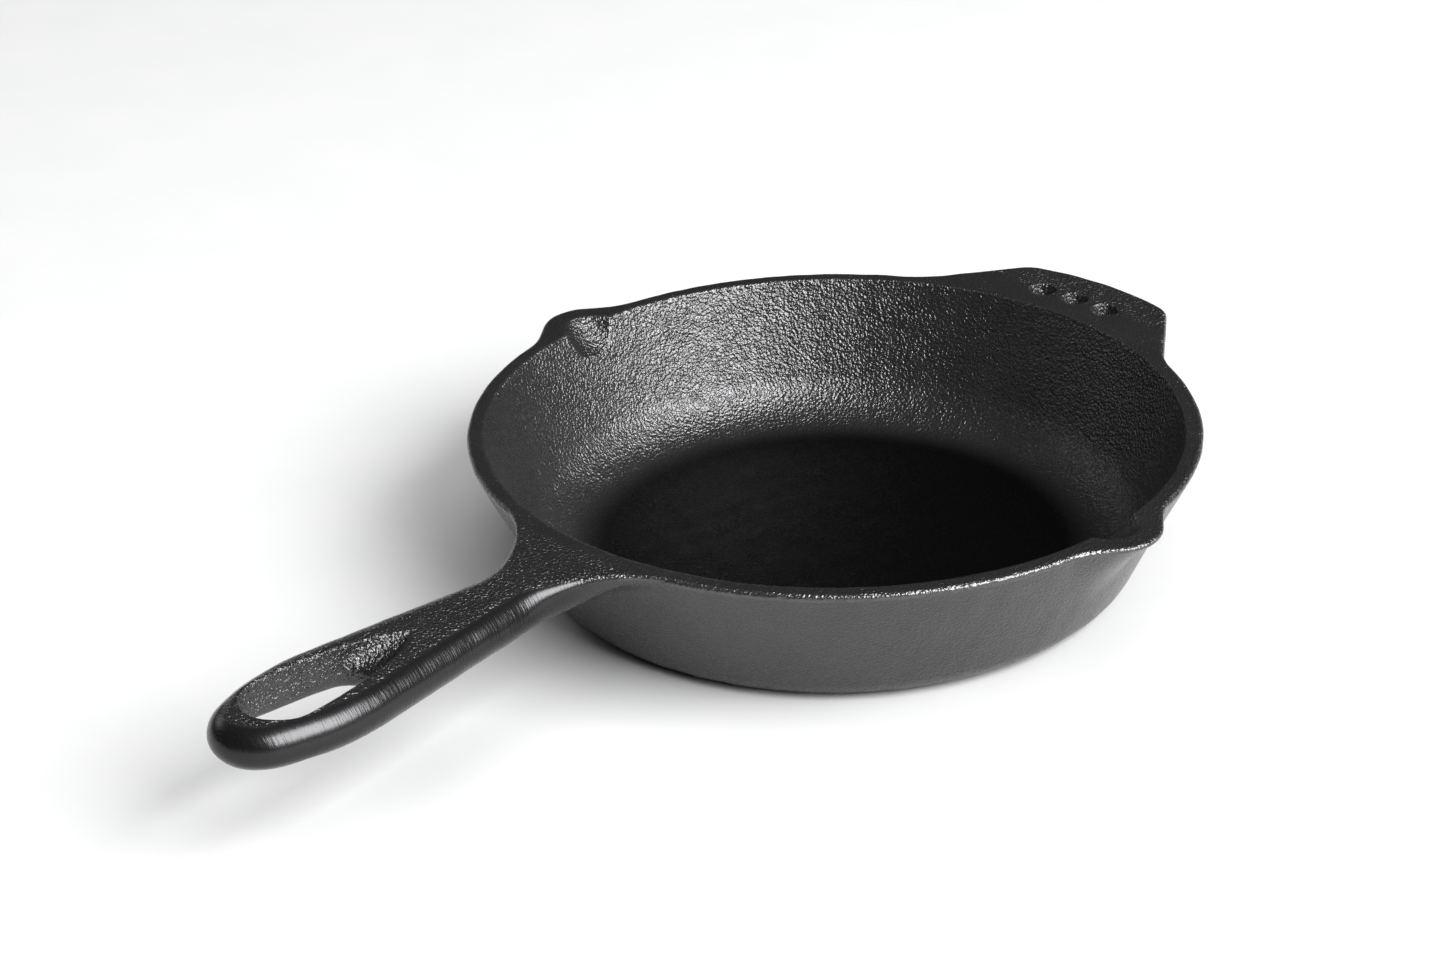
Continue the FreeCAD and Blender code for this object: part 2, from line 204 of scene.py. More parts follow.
def bowl_inside(x, y, z):
    """The hollow of the bowl, with the two channels that lead out of it."""
    inner_radius = RIM - RIM_WIDTH - (TOP - z) * math.tan(INSIDE_LEAN)
    cone = (np.hypot(x, y) - inner_radius) * math.cos(INSIDE_LEAN)
    hollow = rounded_both(cone, FLOOR_TOP - z, INNER_CORNER, math.sin(INSIDE_LEAN))
    channel = tilted_cylinder(np.abs(x), y, z, CHANNEL_RADIUS, CHANNEL_NOSE)
    channel = rounded_both(channel, TOP - CHANNEL_DEPTH - z, CHANNEL_CORNER)
    return rounded_either(hollow, channel, CHANNEL_EDGE, CHANNEL_LEAN)


# ---------------------------------------------------------------- the main handle
TIP_CENTRE = TIP - TIP_RADIUS
SIDE_RADIUS = ((HALF_WIDTH ** 2 + (TIP_CENTRE - WIDEST) ** 2 - TIP_RADIUS ** 2)
               / (2 * (HALF_WIDTH - TIP_RADIUS)))
SIDE_CENTRE = HALF_WIDTH - SIDE_RADIUS
SIDE_END = SIDE_CENTRE + SIDE_RADIUS * math.cos(TAPER)
SIDE_END_REACH = WIDEST - SIDE_RADIUS * math.sin(TAPER)


def handle_outline(across, reach, rim):
    """Signed distance to the handle's outline seen from above, flared into a rim of that radius.

    across is the distance from the handle's middle line and reach the distance along it."""
    line = (across - SIDE_END + (SIDE_END_REACH - reach) * math.tan(TAPER)) * math.cos(TAPER)
    arc = np.hypot(across - SIDE_CENTRE, reach - WIDEST) - SIDE_RADIUS
    tip = np.hypot(across, reach - TIP_CENTRE) - TIP_RADIUS
    beyond_arc = (across - SIDE_CENTRE) * (TIP_CENTRE - WIDEST) < (reach - WIDEST) * -SIDE_CENTRE
    side = np.where(reach * math.cos(TAPER) > WIDEST * math.cos(TAPER)
                    - (across - SIDE_CENTRE) * math.sin(TAPER), np.where(beyond_arc, tip, arc), line)
    disc = np.hypot(across, reach) - rim

    # The flare's centre keeps its radius from the side line and from the rim.
    offset = SIDE_END * math.cos(TAPER) - SIDE_END_REACH * math.sin(TAPER) + FLARE_RADIUS
    along = np.sqrt((rim + FLARE_RADIUS) ** 2 - offset ** 2)
    centre_across = offset * math.cos(TAPER) + along * math.sin(TAPER)
    centre_reach = along * math.cos(TAPER) - offset * math.sin(TAPER)
    u = across - centre_across
    v = reach - centre_reach
    turned_from_rim = u * centre_reach - v * centre_across
    turned_from_side = u * math.sin(TAPER) + v * math.cos(TAPER)
    in_flare = (turned_from_rim < 0) & (turned_from_side < 0)
    return np.where(in_flare, FLARE_RADIUS - np.hypot(u, v), np.minimum(side, disc))


def handle_bar(x, y, z):
    """The handle: flat on top, a rounded shoulder, and a deeper rounded keel below."""
    across = np.abs(x)
    reach = -y
    near_rim = 1 - smooth_step(reach, *ROOT_REACH)
    outline = handle_outline(across, reach, wall_radius(z))
    outline = outline + FLARE_TRIM * smooth_step(across, *FLARE_ENDS)
    shoulder_width = mix(SHOULDER_WIDTH, ROOT_EDGE_WIDTH, near_rim)
    shoulder_height = mix(SHOULDER_HEIGHT, ROOT_EDGE_HEIGHT, near_rim)
    full_keel = HANDLE_DEPTH - shoulder_height
    thin_keel = ROOT_PLATE + (full_keel - ROOT_PLATE) * np.exp(-(across / ROOT_KEEL_SPREAD) ** 2)
    keel_height = mix(full_keel, thin_keel, near_rim)
    parting = TOP - shoulder_height
    upper = z > parting
    width = np.where(upper, shoulder_width, mix(KEEL_WIDTH, ROOT_KEEL_WIDTH, near_rim))
    height = np.where(upper, shoulder_height, keel_height)
    u = np.maximum(outline + width, 0) / width
    v = (z - parting) / height
    size = np.hypot(u, v)
    return (size - 1) * size / np.maximum(np.hypot(u / width, v / height), 1e-6)


def hanging_hole(x, y, z):
    """The teardrop hole, its point closed by a ramp that comes up to the handle's top."""
    across = np.abs(x)
    reach = -y
    length = HOLE_END - HOLE_RADIUS - HOLE_POINT
    side_radius = (HOLE_RADIUS ** 2 + length ** 2) / (2 * HOLE_RADIUS)
    middle = HOLE_END - HOLE_RADIUS
    round_end = np.hypot(across, reach - middle) - HOLE_RADIUS
    sides = np.hypot(across + side_radius - HOLE_RADIUS, reach - middle) - side_radius
    drop = np.where(reach > middle, round_end, sides)
    slope = math.atan2(RAMP_DEPTH, RAMP_END - HOLE_POINT)
    ramp_top = (z - TOP + (reach - HOLE_POINT) * math.tan(slope)) * math.cos(slope)
    ramp = rounded_both(ramp_top, reach - RAMP_END, RAMP_LIP, math.sin(slope))
    return rounded_both(drop, -ramp, RAMP_VALLEY)


# ---------------------------------------------------------------- the assist handle
def lug_plate(x, y, z):
    """The assist handle's plate: a gently curved far edge between two straight sides."""
    across = np.abs(x)
    centre = LUG_REACH - LUG_EDGE_RADIUS
    edge = np.hypot(across, y - centre) - LUG_EDGE_RADIUS
    shoulder_y = centre + math.sqrt(LUG_EDGE_RADIUS ** 2 - LUG_SHOULDER ** 2)
    side = np.array([shoulder_y - LUG_ROOT[1], LUG_ROOT[0] - LUG_SHOULDER])
    side /= np.hypot(*side)
    flank = (across - LUG_SHOULDER) * side[0] + (y - shoulder_y) * side[1]
    lean = (side[0] * LUG_SHOULDER + side[1] * (shoulder_y - centre)) / LUG_EDGE_RADIUS
    outline = rounded_both(edge, flank, LUG_CORNER, lean)
    half = LUG_THICKNESS / 2
    return rounded_both(outline, np.abs(z - TOP + half) - half, LUG_EDGE)


def lug_holes(x, y, z):
    """The row of three round holes, each slightly narrower towards its bottom."""
    angle = np.arctan2(x, y)
    nearest = np.clip(np.round(angle / LUG_HOLE_PITCH), -1, 1) * LUG_HOLE_PITCH
    distance = np.hypot(x - LUG_HOLE_REACH * np.sin(nearest), y - LUG_HOLE_REACH * np.cos(nearest))
    return distance - LUG_HOLE_RADIUS + LUG_HOLE_DRAFT * (TOP - z)


# ---------------------------------------------------------------- the whole casting
def casting(x, y, z):
    """The field of the whole casting: negative inside the iron."""
    solid = bowl_outside(x, y, z)
    on_handle = (y < -BOWL_CLEAR) & (np.abs(x) < -HANDLE_SECTOR * y)
    on_lug = (y > BOWL_CLEAR) & (np.abs(x) < LUG_HALF_SPAN)
    bar = np.where(on_handle, handle_bar(x, y, z), FAR)
    web_fillet = WEB_FILLET * (1 - smooth_step(np.abs(x), *WEB_FADE)) + 1e-3
    solid = rounded_either(solid, bar, web_fillet, WEB_LEAN)
    lug = np.where(on_lug, lug_plate(x, y, z), FAR)
    solid = rounded_either(solid, lug, LUG_FILLET)
    solid = rounded_both(solid, -bowl_inside(x, y, z), RIM_INNER_EDGE, math.sin(INSIDE_LEAN))
    hole = np.where(on_handle & (y < -HOLE_CLEAR), hanging_hole(x, y, z), FAR)
    upper_edge = smooth_step(z, TOP - HOLE_EDGE_DEPTHS[0], TOP - HOLE_EDGE_DEPTHS[1])
    solid = rounded_both(solid, -hole, mix(HOLE_UNDER_EDGE, HOLE_EDGE, upper_edge))
    holes = np.where(on_lug, lug_holes(x, y, z), FAR)
    solid = rounded_both(solid, -holes, LUG_HOLE_EDGE)
    return np.maximum(solid, z - TOP)


def make_waves():
    """Directions and phases of the slow unevenness that sand moulding leaves."""
    random = np.random.default_rng(WAVE_SEED)
    directions = random.normal(size=(WAVE_COUNT, 3))
    directions /= np.linalg.norm(directions, axis=1)[:, None]
    lengths = random.uniform(*WAVE_LENGTHS, WAVE_COUNT)
    phases = random.uniform(0, 2 * math.pi, WAVE_COUNT)
    return directions * (2 * math.pi / lengths)[:, None], phases


WAVES = make_waves()


def uneven_casting(x, y, z):
    """The casting with its slow surface unevenness; its base stays flat on the table."""
    height = np.zeros_like(x)
    for (a, b, c), phase in zip(*WAVES):
        height += np.sin(a * x + b * y + c * z + phase)
    return np.maximum(casting(x, y, z) + WAVE_HEIGHT * height / math.sqrt(WAVE_COUNT / 2), -z)


def gradient(field, points, step=0.05):
    """The field's slope at each point, from its values a step to either side."""
    slopes = []
    for axis in range(3):
        ahead = points.copy()
        behind = points.copy()
        ahead[:, axis] += step
        behind[:, axis] -= step
        slopes.append((field(*ahead.T) - field(*behind.T)) / (2 * step))
    return np.stack(slopes, axis=1)


def settle(field, points, rounds, reach=1.0):
    """Move points onto the field's surface along its slope."""
    for _ in range(rounds):
        slope = gradient(field, points)
        share = field(*points.T) / np.maximum((slope ** 2).sum(axis=1), 0.05)
        points = points - slope * np.clip(share, -reach, reach)[:, None]
    return points


# ---------------------------------------------------------------- the lattice
def spaced(start, *runs):
    """Values from start through evenly divided runs, each given as its end and its usual step."""
    values = [start]
    for end, step in runs:
        count = max(1, round((end - values[-1]) / step))
        values.extend(np.linspace(values[-1], end, count + 1)[1:])
    return np.array(values)


ROUND = 696     # spokes round the bowl, a multiple of 8 for the floor's square nets

# Spokes stand closer together by the handles and spouts, and steps are shortest at the rim.
EVEN = np.linspace(0, 2 * math.pi, 20001)
ANGLES = np.interp(np.arange(ROUND + 1) / ROUND * 2 * math.pi, EVEN + 0.1 * np.sin(4 * EVEN), EVEN)
REACHES = spaced(FLOOR_RADIUS + (TOP - FLOOR_TOP) * math.tan(WALL_LEAN) - 0.7,
                 (RIM - 8.75, 1.35), (RIM + 3.15, 0.7), (RIM + 30, 1.0), (TIP + 11, 1.15))
HEIGHTS = spaced(-0.55, (13.75, 1.1), (TOP - 16.45, 1.8), (TOP + 0.35, 0.7))

# Near the handle the spokes turn parallel: wholly within the first angle and not at all past the
# second, from a margin beyond the rim.  There the lattice's arcs also straighten.
PARALLEL_ANGLES = (math.radians(16), math.radians(32))
PARALLEL_MARGIN = 2
PARALLEL_SPREAD = 10
STRAIGHT_REACH = (RIM - 5, RIM + 35)


def wrapped(angle):
    """The same angle, between minus pi and pi."""
    return (angle + math.pi) % (2 * math.pi) - math.pi


def place(angle, reach, height):
    """A lattice point's place.  Round the bowl the lattice leans with the wall; along the handle
    its spokes become parallel."""
    radius = reach + (height - TOP) * math.tan(WALL_LEAN)
    along_handle = 1 - smooth_step(np.abs(wrapped(angle)), *PARALLEL_ANGLES)
    beyond = np.maximum(radius - RIM - PARALLEL_MARGIN, 0)
    spread = PARALLEL_SPREAD * (1 - np.exp(-beyond / PARALLEL_SPREAD))
    spoke = np.minimum(radius, RIM + PARALLEL_MARGIN) + spread
    across = mix(radius, spoke, along_handle) * np.sin(angle)
    straight = along_handle * smooth_step(radius, *STRAIGHT_REACH)
    along = radius * (1 - (1 - straight) * (1 - np.cos(angle)))
    return np.stack([across, -along, height + 0 * radius], axis=-1)


PIECES = ["side_wall", "pour_spout_right", "pour_spout_left", "handle_neck", "handle_loop",
          "assist_handle"]
NUMBER = {name: number for number, name in enumerate(PIECES, start=1)}
FLOOR_LABEL = len(PIECES) + 1
AIR = 0

# How far round, how low and how far out the lattice has to look for each region's iron.
HANDLE_ANGLE = math.radians(22)
HANDLE_LOWEST = 22
SPOUT_ANGLE = math.radians(15)
SPOUT_LOWEST = 25
SPOUT_MARGIN = 4
LUG_ANGLE = math.radians(180 - 33)
LUG_LOWEST = 38
LUG_MARGIN = 6
WALL_MARGIN = 3
WALL_END = RIM + 0.3    # by the two handles, iron further out than this is theirs


def fill_lattice():
    """The casting's field on the lattice, and for each point inside it the number of its piece."""
    angle = wrapped(ANGLES[:-1])[:, None, None]
    reach = REACHES[None, :, None]
    height = HEIGHTS[None, None, :]
    from_spout = np.abs(np.abs(angle) - math.pi / 2)
    by_handle = np.abs(angle) < HANDLE_ANGLE
    by_spout = from_spout < SPOUT_ANGLE
    by_lug = np.abs(angle) > LUG_ANGLE
    wanted = ((reach < RIM + WALL_MARGIN)
              | (by_handle & (height > HANDLE_LOWEST))
              | (by_spout & (height > SPOUT_LOWEST) & (reach < NOSE + SPOUT_MARGIN))
              | (by_lug & (height > LUG_LOWEST) & (reach < LUG_REACH + LUG_MARGIN)))
    index = np.nonzero(wanted)
    points = place(ANGLES[index[0]], REACHES[index[1]], HEIGHTS[index[2]])
    field = np.ones(wanted.shape)
    field[index] = casting(*points.T)

    shape = field.shape
    outside_wall = np.broadcast_to(reach > WALL_END, shape)
    in_spout = np.broadcast_to((from_spout < SPOUT_HALF_ANGLE) & (height > SPOUT_SEAT), shape)
    right = np.broadcast_to(angle > 0, shape)
    labels = np.full(shape, NUMBER["side_wall"])
    labels[in_spout & right] = NUMBER["pour_spout_right"]
    labels[in_spout & ~right] = NUMBER["pour_spout_left"]
    labels[outside_wall & by_handle] = NUMBER["handle_neck"]
    labels[outside_wall & by_handle & (reach > SPLIT)] = NUMBER["handle_loop"]
    labels[outside_wall & by_lug] = NUMBER["assist_handle"]
    labels[:, 0, :] = FLOOR_LABEL
    labels[field >= 0] = AIR
    return field, labels


def lattice_faces(labels):
    """Every four-cornered face between lattice points with different labels.

    The floor's own skin is left out, because make_floor draws it.
    Returns the faces' corner cells and the labels behind and in front of each face."""
    count = labels.shape[0]
    corners = []
    behind = []
    ahead = []
    for axis in range(3):
        if axis == 0:
            first, second = labels, np.roll(labels, -1, axis=0)
        else:
            near = [slice(None)] * 3
            far = [slice(None)] * 3
            near[axis] = slice(None, -1)
            far[axis] = slice(1, None)
            first, second = labels[tuple(near)], labels[tuple(far)]
        on_floor_only = (np.minimum(first, second) == AIR) & (np.maximum(first, second) == FLOOR_LABEL)
        index = np.stack(np.nonzero((first != second) & ~on_floor_only), axis=1)
        one, two = (axis + 1) % 3, (axis + 2) % 3
        cells = []
        for step_one, step_two in ((1, 1), (0, 1), (0, 0), (1, 0)):
            cell = index.copy()
            cell[:, one] -= step_one
            cell[:, two] -= step_two
            cell[:, 0] %= count
            cells.append(cell)
        corners.append(np.stack(cells, axis=1)[:, ::-1])
        behind.append(first[tuple(index.T)])
        ahead.append(second[tuple(index.T)])
    return np.concatenate(corners), np.concatenate(behind), np.concatenate(ahead)


def cell_points(field, cells):
    """A starting place for each cell's vertex, and whether the skin passes through the cell."""
    i, j, k = cells.T
    count = field.shape[0]
    offsets = [(a, b, c) for a in (0, 1) for b in (0, 1) for c in (0, 1)]
    values = {o: field[(i + o[0]) % count, j + o[1], k + o[2]] for o in offsets}
    total = np.zeros((len(cells), 3))
    crossings = np.zeros(len(cells))
    for start in offsets:
        for axis in range(3):
            if start[axis]:
                continue
            end = tuple(1 if n == axis else start[n] for n in range(3))
            a, b = values[start], values[end]
            crossed = (a < 0) != (b < 0)
            share = np.where(crossed, a / np.where(crossed, a - b, 1), 0)
            spot = np.tile(np.array(start, float), (len(cells), 1))
            spot[:, axis] = share
            total += spot * crossed[:, None]
            crossings += crossed
    on_skin = crossings > 0
    local = np.where(on_skin[:, None], total / np.maximum(crossings, 1)[:, None], 0.5)
    angle = mix(ANGLES[i], ANGLES[i + 1], local[:, 0])
    reach = mix(REACHES[j], REACHES[j + 1], local[:, 1])
    height = mix(HEIGHTS[k], HEIGHTS[k + 1], local[:, 2])
    return place(angle, reach, height), on_skin


def even_out(points, faces, free, rounds):
    """Slide the free vertices towards the middle of their neighbours, staying on the skin."""
    edges = np.concatenate([faces[:, [a, (a + 1) % 4]] for a in range(4)])
    edges = np.unique(np.sort(edges, axis=1), axis=0)
    degree = np.bincount(edges.ravel(), minlength=len(points))
    moving = np.nonzero(free & (degree > 0))[0]
    for _ in range(rounds):
        total = np.zeros_like(points)
        for axis in range(3):
            total[:, axis] = (np.bincount(edges[:, 0], points[edges[:, 1], axis], len(points))
                              + np.bincount(edges[:, 1], points[edges[:, 0], axis], len(points)))
        middle = total[moving] / degree[moving, None]
        points[moving] = settle(casting, mix(points[moving], middle, 0.5), 1)
    return points


# ---------------------------------------------------------------- meshes
# How strong the grain is on each kind of cast skin.  The outer wall has LEAST_GRAIN, and the
# handle's ground sides have none.
INNER_GRAIN = 0.7
FLAT_TOP_GRAIN = 0.8
HANDLE_TOP_GRAIN = 1.3
LUG_GRAIN = 1.2
LEAST_GRAIN = 0.4

# Each mark fades between two places: distances from a surface, depths, reaches or bends.
INNER_FADE = (0.4, 1.4)
HOLE_FADE = (0.5, 1.6)
FLAT_TOP_FADE = (0.9, 0.2)
GROUND_FADE = (128, 150)
HANDLE_TOP_FADE = (118, 134)
LUG_FADE = (132, 138)
WORN_BEND = (0.25, 0.8)
COOKING_FADE = (FLOOR_RADIUS - 4, FLOOR_RADIUS + 12)
COOKING_TOP = FLOOR_TOP + 8
INNER_END = RIM + 4
BEND_STEP = 0.6         # distance over which the skin's bend is measured


def surface_marks(points, normals):
    """How coarse, ground, worn and near the cooking face the skin is at each point.

    0 is not at all and 1 is fully; coarse passes 1 where the grain is heaviest."""
    x, y, z = points.T
    inner = 1 - smooth_step(np.abs(bowl_inside(x, y, z)), *INNER_FADE)
    inner *= np.hypot(x, y) < INNER_END
    flat_top = smooth_step(z, TOP - FLAT_TOP_FADE[0], TOP - FLAT_TOP_FADE[1])
    on_handle = smooth_step(-y, *GROUND_FADE)
    in_hole = 1 - smooth_step(np.abs(hanging_hole(x, y, z)), *HOLE_FADE)
    in_hole *= -y > SPLIT
    on_lug = smooth_step(y, *LUG_FADE)
    ground = on_handle * (1 - flat_top) * (1 - in_hole)
    on_handle_top = flat_top * smooth_step(-y, *HANDLE_TOP_FADE)
    coarse = np.maximum.reduce([INNER_GRAIN * inner, FLAT_TOP_GRAIN * flat_top,
                                HANDLE_TOP_GRAIN * on_handle_top, in_hole, LUG_GRAIN * on_lug])
    coarse = np.maximum(coarse, LEAST_GRAIN) * (1 - ground)
    bend = np.zeros(len(points))
    for axis in range(3):
        ahead = points.copy()
        ahead[:, axis] += BEND_STEP
        slope = gradient(casting, ahead)
        slope /= np.linalg.norm(slope, axis=1)[:, None] + 1e-9
        bend += (slope[:, axis] - normals[:, axis]) / BEND_STEP
    worn = smooth_step(bend, *WORN_BEND) * (1 - on_handle)
    on_floor = inner * (1 - smooth_step(np.hypot(x, y), *COOKING_FADE))
    on_floor *= z < COOKING_TOP
    return {"coarse": coarse, "ground": ground, "worn": worn, "cooking": on_floor}


def make_piece(name, points, normals, faces, is_cap, marks):
    """A mesh object from the casting's vertices, its skin shaded by the field's own slope."""
    used, local = np.unique(faces, return_inverse=True)
    local = local.reshape(faces.shape)
    mesh = bpy.data.meshes.new(name)
    mesh.vertices.add(len(used))
    mesh.vertices.foreach_set("co", (points[used] * MM).ravel())
    mesh.loops.add(faces.size)
    mesh.loops.foreach_set("vertex_index", local.ravel())
    mesh.polygons.add(len(faces))
    mesh.polygons.foreach_set("loop_start", np.arange(0, faces.size, 4))
    mesh.update(calc_edges=True)
    mesh.polygons.foreach_set("use_smooth", np.ones(len(faces), bool))
    loop_normals = normals[faces.ravel()] * ~np.repeat(is_cap, 4)[:, None]
    mesh.normals_split_custom_set(loop_normals.tolist())
    for mark, values in marks.items():
        attribute = mesh.attributes.new(mark, "FLOAT", "POINT")
        attribute.data.foreach_set("value", values[used].astype(np.float32))
    if mesh.validate():
        raise RuntimeError(f"{name} had faulty faces")
    piece = bpy.data.objects.new(name, mesh)
    bpy.context.scene.collection.objects.link(piece)
    return piece


def unit(vectors):
    """The same directions at a length of 1."""
    return vectors / np.maximum(np.linalg.norm(vectors, axis=1)[:, None], 1e-9)


def disc_from_ring(ring):
    """A square net of points stretched over a ring, and its faces, which look up.

    The ring's own points are its border, so the net joins the ring's other side without a gap."""
    half = len(ring) // 8
    a, b = np.meshgrid(np.arange(-half, half + 1), np.arange(-half, half + 1), indexing="ij")
    size = np.maximum(np.maximum(np.abs(a), np.abs(b)), 1)
    turn = np.where(np.abs(a) >= np.abs(b),
                    np.where(a > 0, b / size, 4 - b / size),
                    np.where(b > 0, 2 - a / size, 6 + a / size))
    position = (turn % 8) * half
    closed = np.vstack([ring, ring[:1]])
    border = np.stack([np.interp(position, np.arange(len(closed)), closed[:, n]) for n in range(3)],
                      axis=-1)
    share = (size * ((a != 0) | (b != 0)) / half)[..., None]
    points = border * share
    points[..., 2] = border[..., 2]
    side = 2 * half + 1
    number = np.arange(side * side).reshape(side, side)
    faces = np.stack([number[:-1, :-1], number[1:, :-1], number[1:, 1:], number[:-1, 1:]],
                     axis=-1).reshape(-1, 4)
    rim = (size == half)
    order = np.argsort(position[rim])
    return points.reshape(-1, 3), faces, number[rim][order], rim.ravel()


def make_floor(top_ring, bottom_ring):
    """The cooking floor: two nets over the wall's inner borders, joined round their edge."""
    top, top_faces, top_rim, fixed = disc_from_ring(top_ring)
    bottom, bottom_faces, bottom_rim, _ = disc_from_ring(bottom_ring)
    for net in (top, bottom):
        net[~fixed] = settle(uneven_casting, net[~fixed], 2)
    points = np.concatenate([top, bottom])
    shift = len(top)
    after = np.roll(np.arange(len(top_rim)), -1)
    band = np.stack([top_rim, bottom_rim + shift, bottom_rim[after] + shift, top_rim[after]], axis=1)
    faces = np.concatenate([top_faces, bottom_faces[:, ::-1] + shift, band])
    is_cap = np.arange(len(faces)) >= 2 * len(top_faces)
    normals = unit(gradient(uneven_casting, points))
    return make_piece("cooking_floor", points, normals, faces, is_cap, surface_marks(points, normals))


def make_casting():
    """All seven pieces of the casting, by name."""
    field, labels = fill_lattice()
    corners, behind, ahead = lattice_faces(labels)
    shape = np.array(field.shape)
    keys = np.ravel_multi_index(corners.reshape(-1, 3).T, shape)
    cells, faces = np.unique(keys, return_inverse=True)
    faces = faces.reshape(-1, 4)
    index = np.stack(np.unravel_index(cells, shape), axis=1)
    points, on_skin = cell_points(field, index)
    is_skin = (behind == AIR) | (ahead == AIR)
    points[on_skin] = settle(casting, points[on_skin], 3)
    free = on_skin & (index[:, 1] > 0)
    points = even_out(points, faces[is_skin], free, 4)
    points[on_skin] = settle(uneven_casting, points[on_skin], 3)
    normals = np.zeros_like(points)
    normals[on_skin] = unit(gradient(uneven_casting, points[on_skin]))
    marks = surface_marks(points, normals)

    pieces = {}
    for name, label in NUMBER.items():
        forward, backward = behind == label, ahead == label
        own = np.concatenate([faces[forward], faces[backward][:, ::-1]])
        own_skin = np.concatenate([is_skin[forward], is_skin[backward]])
        pieces[name] = make_piece(name, points, normals, own, ~own_skin, marks)

    ring = np.nonzero(on_skin & (index[:, 1] == 0))[0]
    on_top = points[ring][:, 2] > FLOOR_TOP / 2
    rings = []
    for chosen in (ring[on_top], ring[~on_top]):
        rings.append(points[chosen[np.argsort(index[chosen, 0])]])
    pieces["cooking_floor"] = make_floor(*rings)
    return pieces


# ---------------------------------------------------------------- materials
# Patterns are given as features per metre, and their bump's height in metres.
PEBBLES_PER_METRE = 900
PITS_PER_METRE = 1100
GRIT_PER_METRE = 2700
CLUMPS_PER_METRE = 230
TONES_PER_METRE = 38
WEAR_PER_METRE = 300
SCRATCHES_PER_METRE = (110.0, 1300.0, 110.0)
PEBBLE_HEIGHT = 0.00042
PIT_DEPTH = 0.8         # against the pebbles' height
GRIT_HEIGHT = 0.00012
SCRATCH_HEIGHT = 0.00026
SCRATCH_STRENGTH = 0.6
COOKING_SMOOTHING = 0.72

DARK_IRON = (0.058, 0.058, 0.059)
LIGHT_IRON = (0.090, 0.090, 0.092)
# painted shade for the cooking floor: far darker than the wall's iron, standing in for the dark
# surroundings that the floor reflects
PAINTED_DARK_FLOOR = (0.003, 0.003, 0.0031)
WORN_IRON = (0.20, 0.20, 0.205)
GROUND_IRON = (0.030, 0.030, 0.031)
PAINTED_DARK_FLOOR_SHARE = 0.95    # how far each marked skin's colour covers the iron's
WORN_SHARE = 0.3
GROUND_SHARE = 0.85
SMOOTH_IRON = 0.24      # roughness
ROUGH_IRON = 0.31
GROUND_ROUGHNESS = 0.27
GRIT_ROUGHNESS = 0.12

TABLE_GRAIN_PER_METRE = 260
TABLE_TONES_PER_METRE = 25
TABLE_GRAIN_HEIGHT = 0.0003
DARK_TABLE = (0.46, 0.463, 0.466)
LIGHT_TABLE = (0.49, 0.49, 0.49)


class Nodes:
    """A short way to add and join shader nodes."""

    def __init__(self, name):
        self.material = bpy.data.materials.new(name)
        self.material.use_nodes = True
        self.tree = self.material.node_tree
        self.tree.nodes.clear()

    def add(self, kind, settings=None, **inputs):
        node = self.tree.nodes.new(kind)
        for key, value in (settings or {}).items():
            setattr(node, key, value)
        for key, value in inputs.items():
            self.join(node.inputs[key.replace("_", " ")], value)
        return node

    def join(self, socket, value):
        if isinstance(value, bpy.types.NodeSocket):
            self.tree.links.new(value, socket)
        else:
            socket.default_value = value

    def math(self, operation, a, b):
        node = self.tree.nodes.new("ShaderNodeMath")
        node.operation = operation
        for socket, value in zip(node.inputs, (a, b)):
            self.join(socket, value)
        return node.outputs[0]

    def mark(self, name):
        return self.add("ShaderNodeAttribute", {"attribute_name": name}).outputs["Fac"]

    def noise(self, spot, scale, detail=2.0, roughness=0.5):
        return self.add("ShaderNodeTexNoise", None, Vector=spot, Scale=scale, Detail=detail,
                        Roughness=roughness).outputs["Fac"]

    def ramp(self, value, low, high, to_low=0.0, to_high=1.0):
        node = self.add("ShaderNodeMapRange", {"interpolation_type": "SMOOTHSTEP"})
        for socket, number in zip(node.inputs, (value, low, high, to_low, to_high)):
            self.join(socket, number)
        return node.outputs["Result"]

    def blend(self, share, low, high):
        """Low and high numbers mixed by share."""
        node = self.add("ShaderNodeMix", {"data_type": "FLOAT"})
        self.join(node.inputs["Factor"], share)
        self.join(node.inputs["A"], low)
        self.join(node.inputs["B"], high)
        return node.outputs["Result"]

    def grey(self, share, low, high):
        """Two greys, or colours, mixed by share."""
        node = self.add("ShaderNodeMix", {"data_type": "RGBA"})
        self.join(node.inputs["Factor"], share)
        sockets = [s for s in node.inputs if s.type == "RGBA"]
        for socket, colour in zip(sockets, (low, high)):
            self.join(socket, colour if isinstance(colour, bpy.types.NodeSocket) else (*colour, 1))
        return next(s for s in node.outputs if s.type == "RGBA")

    def bump(self, height, distance, strength, under=None):
        node = self.add("ShaderNodeBump", None, Height=height, Distance=distance, Strength=strength)
        if under is not None:
            self.join(node.inputs["Normal"], under)
        return node.outputs["Normal"]


